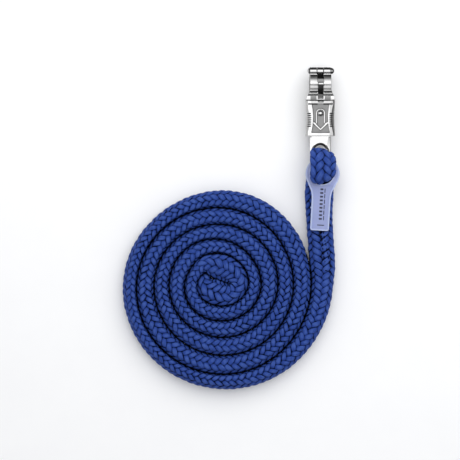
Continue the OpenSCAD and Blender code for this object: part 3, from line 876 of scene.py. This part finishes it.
def mark_tag(co, no):
    """Near the outline of the tag, and round its hole."""
    wall = co[(np.abs(no[:, 2]) < 0.35) & (co[:, 2] < 6.2)]
    tree = KDTree(len(wall))
    for k, (x, y, _) in enumerate(wall):
        tree.insert((x, y, 0), k)
    tree.balance()
    distance = np.array([tree.find((x, y, 0))[2] for x, y, _ in co])
    return np.clip((1.55 - distance) / 0.5, 0, 1).astype(np.float32)


def jaw_web(steps=14):
    """A curved web set back between the two columns of the jaw: vertices and faces, mm."""
    verts, faces = [], []
    for k in range(steps + 1):
        t = math.radians(2.5 + (36.5 - 2.5) * k / steps)
        for r in (13.2, 10.2):
            for x in (-3.35, 3.35):
                verts.append((x, r * math.sin(t), r * math.cos(t)))
    for a in range(0, 4 * steps, 4):
        b = a + 4
        faces += [(a, a + 1, b + 1, b), (a + 2, b + 2, b + 3, a + 3),
                  (a, b, b + 2, a + 2), (a + 1, a + 3, b + 3, b + 1)]
    e = 4 * steps
    return verts, faces + [(0, 2, 3, 1), (e, e + 1, e + 3, e + 2)]


# ------------------------------------------------------------------ the castings


def read_vectors(mesh, what):
    values = np.zeros(len(mesh.vertices) * 3)
    mesh.vertices.foreach_get(what, values)
    return values.reshape(-1, 3)


def cast(node, name, voxel, rounds, mat, body, slot, mark=None, shape=None, extra=None):
    """The CAD node's shape with the edges rounded as a casting or a moulding has them."""
    me = frame["nodes"][node].data.copy()
    o = add_object(name, me)
    bm = bmesh.new()
    bm.from_mesh(me)
    bmesh.ops.remove_doubles(bm, verts=bm.verts, dist=1e-6)
    if extra is not None:
        verts, faces = extra
        made = [bm.verts.new((x * MM, y * MM, z * MM)) for x, y, z in verts]
        added = [bm.faces.new([made[i] for i in face]) for face in faces]
        bmesh.ops.recalc_face_normals(bm, faces=added)
    bm.to_mesh(me)
    bm.free()
    remesh = o.modifiers.new("remesh", "REMESH")
    remesh.mode = "VOXEL"
    remesh.voxel_size = voxel * MM
    smooth = o.modifiers.new("smooth", "SMOOTH")
    smooth.factor = 0.5
    smooth.iterations = rounds
    bpy.context.view_layer.update()
    graph = bpy.context.evaluated_depsgraph_get()
    new = bpy.data.meshes.new_from_object(o.evaluated_get(graph))
    o.modifiers.clear()
    o.data = new
    new.name = name
    for stale in [a.name for a in new.attributes if a.name.startswith(("sharp", "custom"))]:
        new.attributes.remove(new.attributes[stale])
    new.polygons.foreach_set("use_smooth", [True] * len(new.polygons))
    new.update()
    if shape is not None:
        worked = shape(read_vectors(new, "co") / MM, read_vectors(new, "normal")) * MM
        new.vertices.foreach_set("co", worked.ravel())
        new.update()
    if mark is not None:
        co, no = read_vectors(new, "co") / MM, read_vectors(new, "normal")
        new.attributes.new("mark", "FLOAT", "POINT").data.foreach_set("value", mark(co, no))
    finish_piece(o, mat, body, slot, node)


cast("hook_body", "hook_body_casting", voxel=0.28, rounds=2, mat=body_mat, body="snap",
     slot="plated_metal", mark=mark_body, shape=shape_body)
cast("release_jaw", "release_jaw_casting", voxel=0.24, rounds=2, mat=jaw_mat, body="jaw",
     slot="plated_metal", mark=mark_jaw, shape=shape_jaw, extra=jaw_web())
cast("release_sleeve", "release_sleeve_casting", voxel=0.24, rounds=2, mat=sleeve_mat,
     body="sleeve", slot="plated_metal", mark=mark_sleeve, shape=shape_sleeve)
cast("jaw_pin", "jaw_pin_rivet", voxel=0.14, rounds=3, mat=steel_mat, body="snap",
     slot="steel", mark=mark_pin)
cast("sleeve_rivet", "sleeve_rivet_domed", voxel=0.12, rounds=3, mat=steel_mat,
     body="sleeve", slot="steel")
cast("hang_tag", "hang_tag_moulding", voxel=0.20, rounds=2, mat=pvc_mat, body="tag",
     slot="tag_plastic", mark=mark_tag)


# ------------------------------------------------------------------ the spring

SPRING_COILS = 8
SPRING_RADIUS, WIRE_RADIUS = 2.1, 0.4
END_RISE = 0.9      # how far the closed coil at each end rises


def build_spring():
    """A round wire wound about Y."""
    lo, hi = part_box("sleeve_spring")
    start, end = lo.y / MM + WIRE_RADIUS, hi.y / MM - WIRE_RADIUS
    length = end - start
    turn = np.linspace(0, SPRING_COILS, SPRING_COILS * 36 + 1)
    middle = END_RISE + (turn - 1) / (SPRING_COILS - 2) * (length - 2 * END_RISE)
    rise = np.where(turn < 1, turn * END_RISE,
                    np.where(turn > SPRING_COILS - 1,
                             length - (SPRING_COILS - turn) * END_RISE, middle))
    line = np.column_stack([SPRING_RADIUS * np.cos(TAU * turn), start + rise,
                            SPRING_RADIUS * np.sin(TAU * turn)])
    spring = thread_mesh("sleeve_spring_wire", line, WIRE_RADIUS, sides=12, taper=False)
    finish_piece(spring, wire_mat, "snap", "spring_steel", "sleeve_spring")
    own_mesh(spring)


build_spring()


# ------------------------------------------------------------------ print on the tag

PRINT_ORIGIN = (2.0, -85.35)
PRINT_LEAN = math.radians(-3.2)
PRINT_Z = 5.0 + 1.8 - 0.35          # the printed face of the tag
PRINT_BELOW, PRINT_ABOVE = 0.06, 0.045
# centre x, centre y, width, height, before the print is leaned and moved to its origin:
# a dashed bar, a fine dashed rule beside it and a line across the end
BARS = ([(0.2, -14.6 - k * 3.5, 2.9, 1.7) for k in range(9)]
        + [(3.2, -15.8 - k * 5.2, 0.8, 4.0) for k in range(6)]
        + [(0.8, -48.6, 6.6, 0.9)])


def rounded_bar(centre_x, centre_y, width, height):
    radius = min(width, height) * 0.22
    corners = []
    for side_x, side_y, first in ((1, 1, 0), (-1, 1, 90), (-1, -1, 180), (1, -1, 270)):
        for step in (0, 30, 60, 90):
            t = math.radians(first + step)
            corners.append((centre_x + side_x * (width / 2 - radius) + radius * math.cos(t),
                            centre_y + side_y * (height / 2 - radius) + radius * math.sin(t)))
    return corners


def build_print():
    cos_lean, sin_lean = math.cos(PRINT_LEAN), math.sin(PRINT_LEAN)
    verts, faces = [], []
    for bar in BARS:
        base, corners = len(verts), rounded_bar(*bar)
        for z in (PRINT_Z - PRINT_BELOW, PRINT_Z + PRINT_ABOVE):
            for x, y in corners:
                verts.append(((x * cos_lean - y * sin_lean + PRINT_ORIGIN[0]) * MM,
                              (x * sin_lean + y * cos_lean + PRINT_ORIGIN[1]) * MM, z * MM))
        count = len(corners)
        top = base + count
        faces.append([top + j for j in range(count)])
        faces.append([base + j for j in range(count)][::-1])
        for j in range(count):
            after = (j + 1) % count
            faces.append([base + j, base + after, top + after, top + j])
    me = bpy.data.meshes.new("tag_print_marks")
    me.from_pydata(verts, [], faces)
    finish_piece(add_object("tag_print_marks", me), ink_mat, "tag", "thread")


build_print()


# ------------------------------------------------------------------ stage, light, camera

FLOOR_Z = -15.5 * MM - 0.0002
FLOOR_REACH = 3                         # metres
LIGHT_TARGET = (-0.085, -0.14, 0)       # metres
VIEW_X, VIEW_Y, VIEW_WIDTH = -85.7, -138.5, 437.0
LENS, SENSOR = 180, 36


def build_floor():
    reach = FLOOR_REACH
    corners = [(-reach, -reach), (reach, -reach), (reach, reach), (-reach, reach)]
    me = bpy.data.meshes.new("floor")
    me.from_pydata([(x, y, FLOOR_Z) for x, y in corners], [], [(0, 1, 2, 3)])
    floor = add_object("floor", me)
    mat, sh, bsdf = new_material("studio_floor")
    clouds = sh.noise(sh.coords(), scale=30.0)
    sh.feed(bsdf, {
        "Base Color": sh.ramp(clouds, [(0.0, (0.90, 0.90, 0.905)), (1.0, 0.93)]),
        "Roughness": 0.8,
        "Specular IOR Level": 0.1})
    me.materials.append(mat)
    floor.visible_glossy = False


def build_world():
    """An even pale light, and for reflections a studio of bright and dark bands."""
    world = bpy.data.worlds.new("studio")
    bpy.context.scene.world = world
    world.use_nodes = True
    sh = Shading(world.node_tree)
    output = sh.node("OutputWorld")
    x, y, z = sh.node("SeparateXYZ", {0: sh.coords("Generated")}).outputs
    up = sh.add(sh.times(z, 0.5), 0.5)
    # greys from straight down to straight up
    bands = sh.ramp(up, [(0.0, 0.62), (0.30, 0.55), (0.43, 0.12), (0.60, 0.05), (0.75, 0.12),
                         (0.83, 0.85), (0.90, 1.35), (0.965, 1.38), (1.0, 1.34)])
    # dimmer towards +X and towards both ends of Y, with a glow from -X
    dim_x = sh.smoothstep(x, from_min=0.12, from_max=0.75, to_min=1.0, to_max=0.45)
    dim_y = sh.smoothstep(sh.math("ABSOLUTE", y), from_min=0.20, from_max=0.70, to_min=1.0,
                          to_max=0.16)
    glow = sh.smoothstep(x, from_min=-0.95, from_max=-0.55, to_min=0.55, to_max=0.0)
    mirrored = sh.blend("LIGHTEN", sh.blend("MULTIPLY", bands, dim_y), glow)
    mirrored = sh.blend("MULTIPLY", mirrored, dim_x)
    glossy = sh.node("LightPath").outputs["Is Glossy Ray"]
    studio = sh.node("Background", {"Color": mirrored}).outputs[0]
    plain = sh.node("Background", {"Color": (0.97, 0.98, 1.0, 1), "Strength": 0.75}).outputs[0]
    mix = sh.node("MixShader", {0: glossy, 1: plain, 2: studio})
    sh.feed(output, {0: mix.outputs[0]})


def area_light(name, location, energy):
    """A round lamp one metre across; the metal mirrors the world, not the lamps."""
    data = bpy.data.lights.new(name, "AREA")
    data.shape = "DISK"
    data.size = 1.0
    data.energy = energy
    o = add_object(name, data)
    o.location = location
    aim = Vector(LIGHT_TARGET) - Vector(location)
    o.rotation_euler = aim.to_track_quat("-Z", "Y").to_euler()
    o.visible_glossy = False


def build_camera():
    """Looks straight down, far enough off to see VIEW_WIDTH at z = 0."""
    data = bpy.data.cameras.new("camera")
    data.sensor_width = SENSOR
    data.lens = LENS
    data.clip_start, data.clip_end = 0.1, 10
    camera = add_object("camera", data)
    camera.location = (VIEW_X * MM, VIEW_Y * MM, VIEW_WIDTH * MM * LENS / SENSOR)
    bpy.context.scene.camera = camera


build_floor()
build_world()
area_light("key", location=(0.14, 0.26, 0.72), energy=4.0)
area_light("fill", location=(-0.42, 0.80, 1.05), energy=2.2)
build_camera()
bpy.context.scene.view_settings.view_transform = "Standard"
bpy.context.scene.view_settings.look = "None"
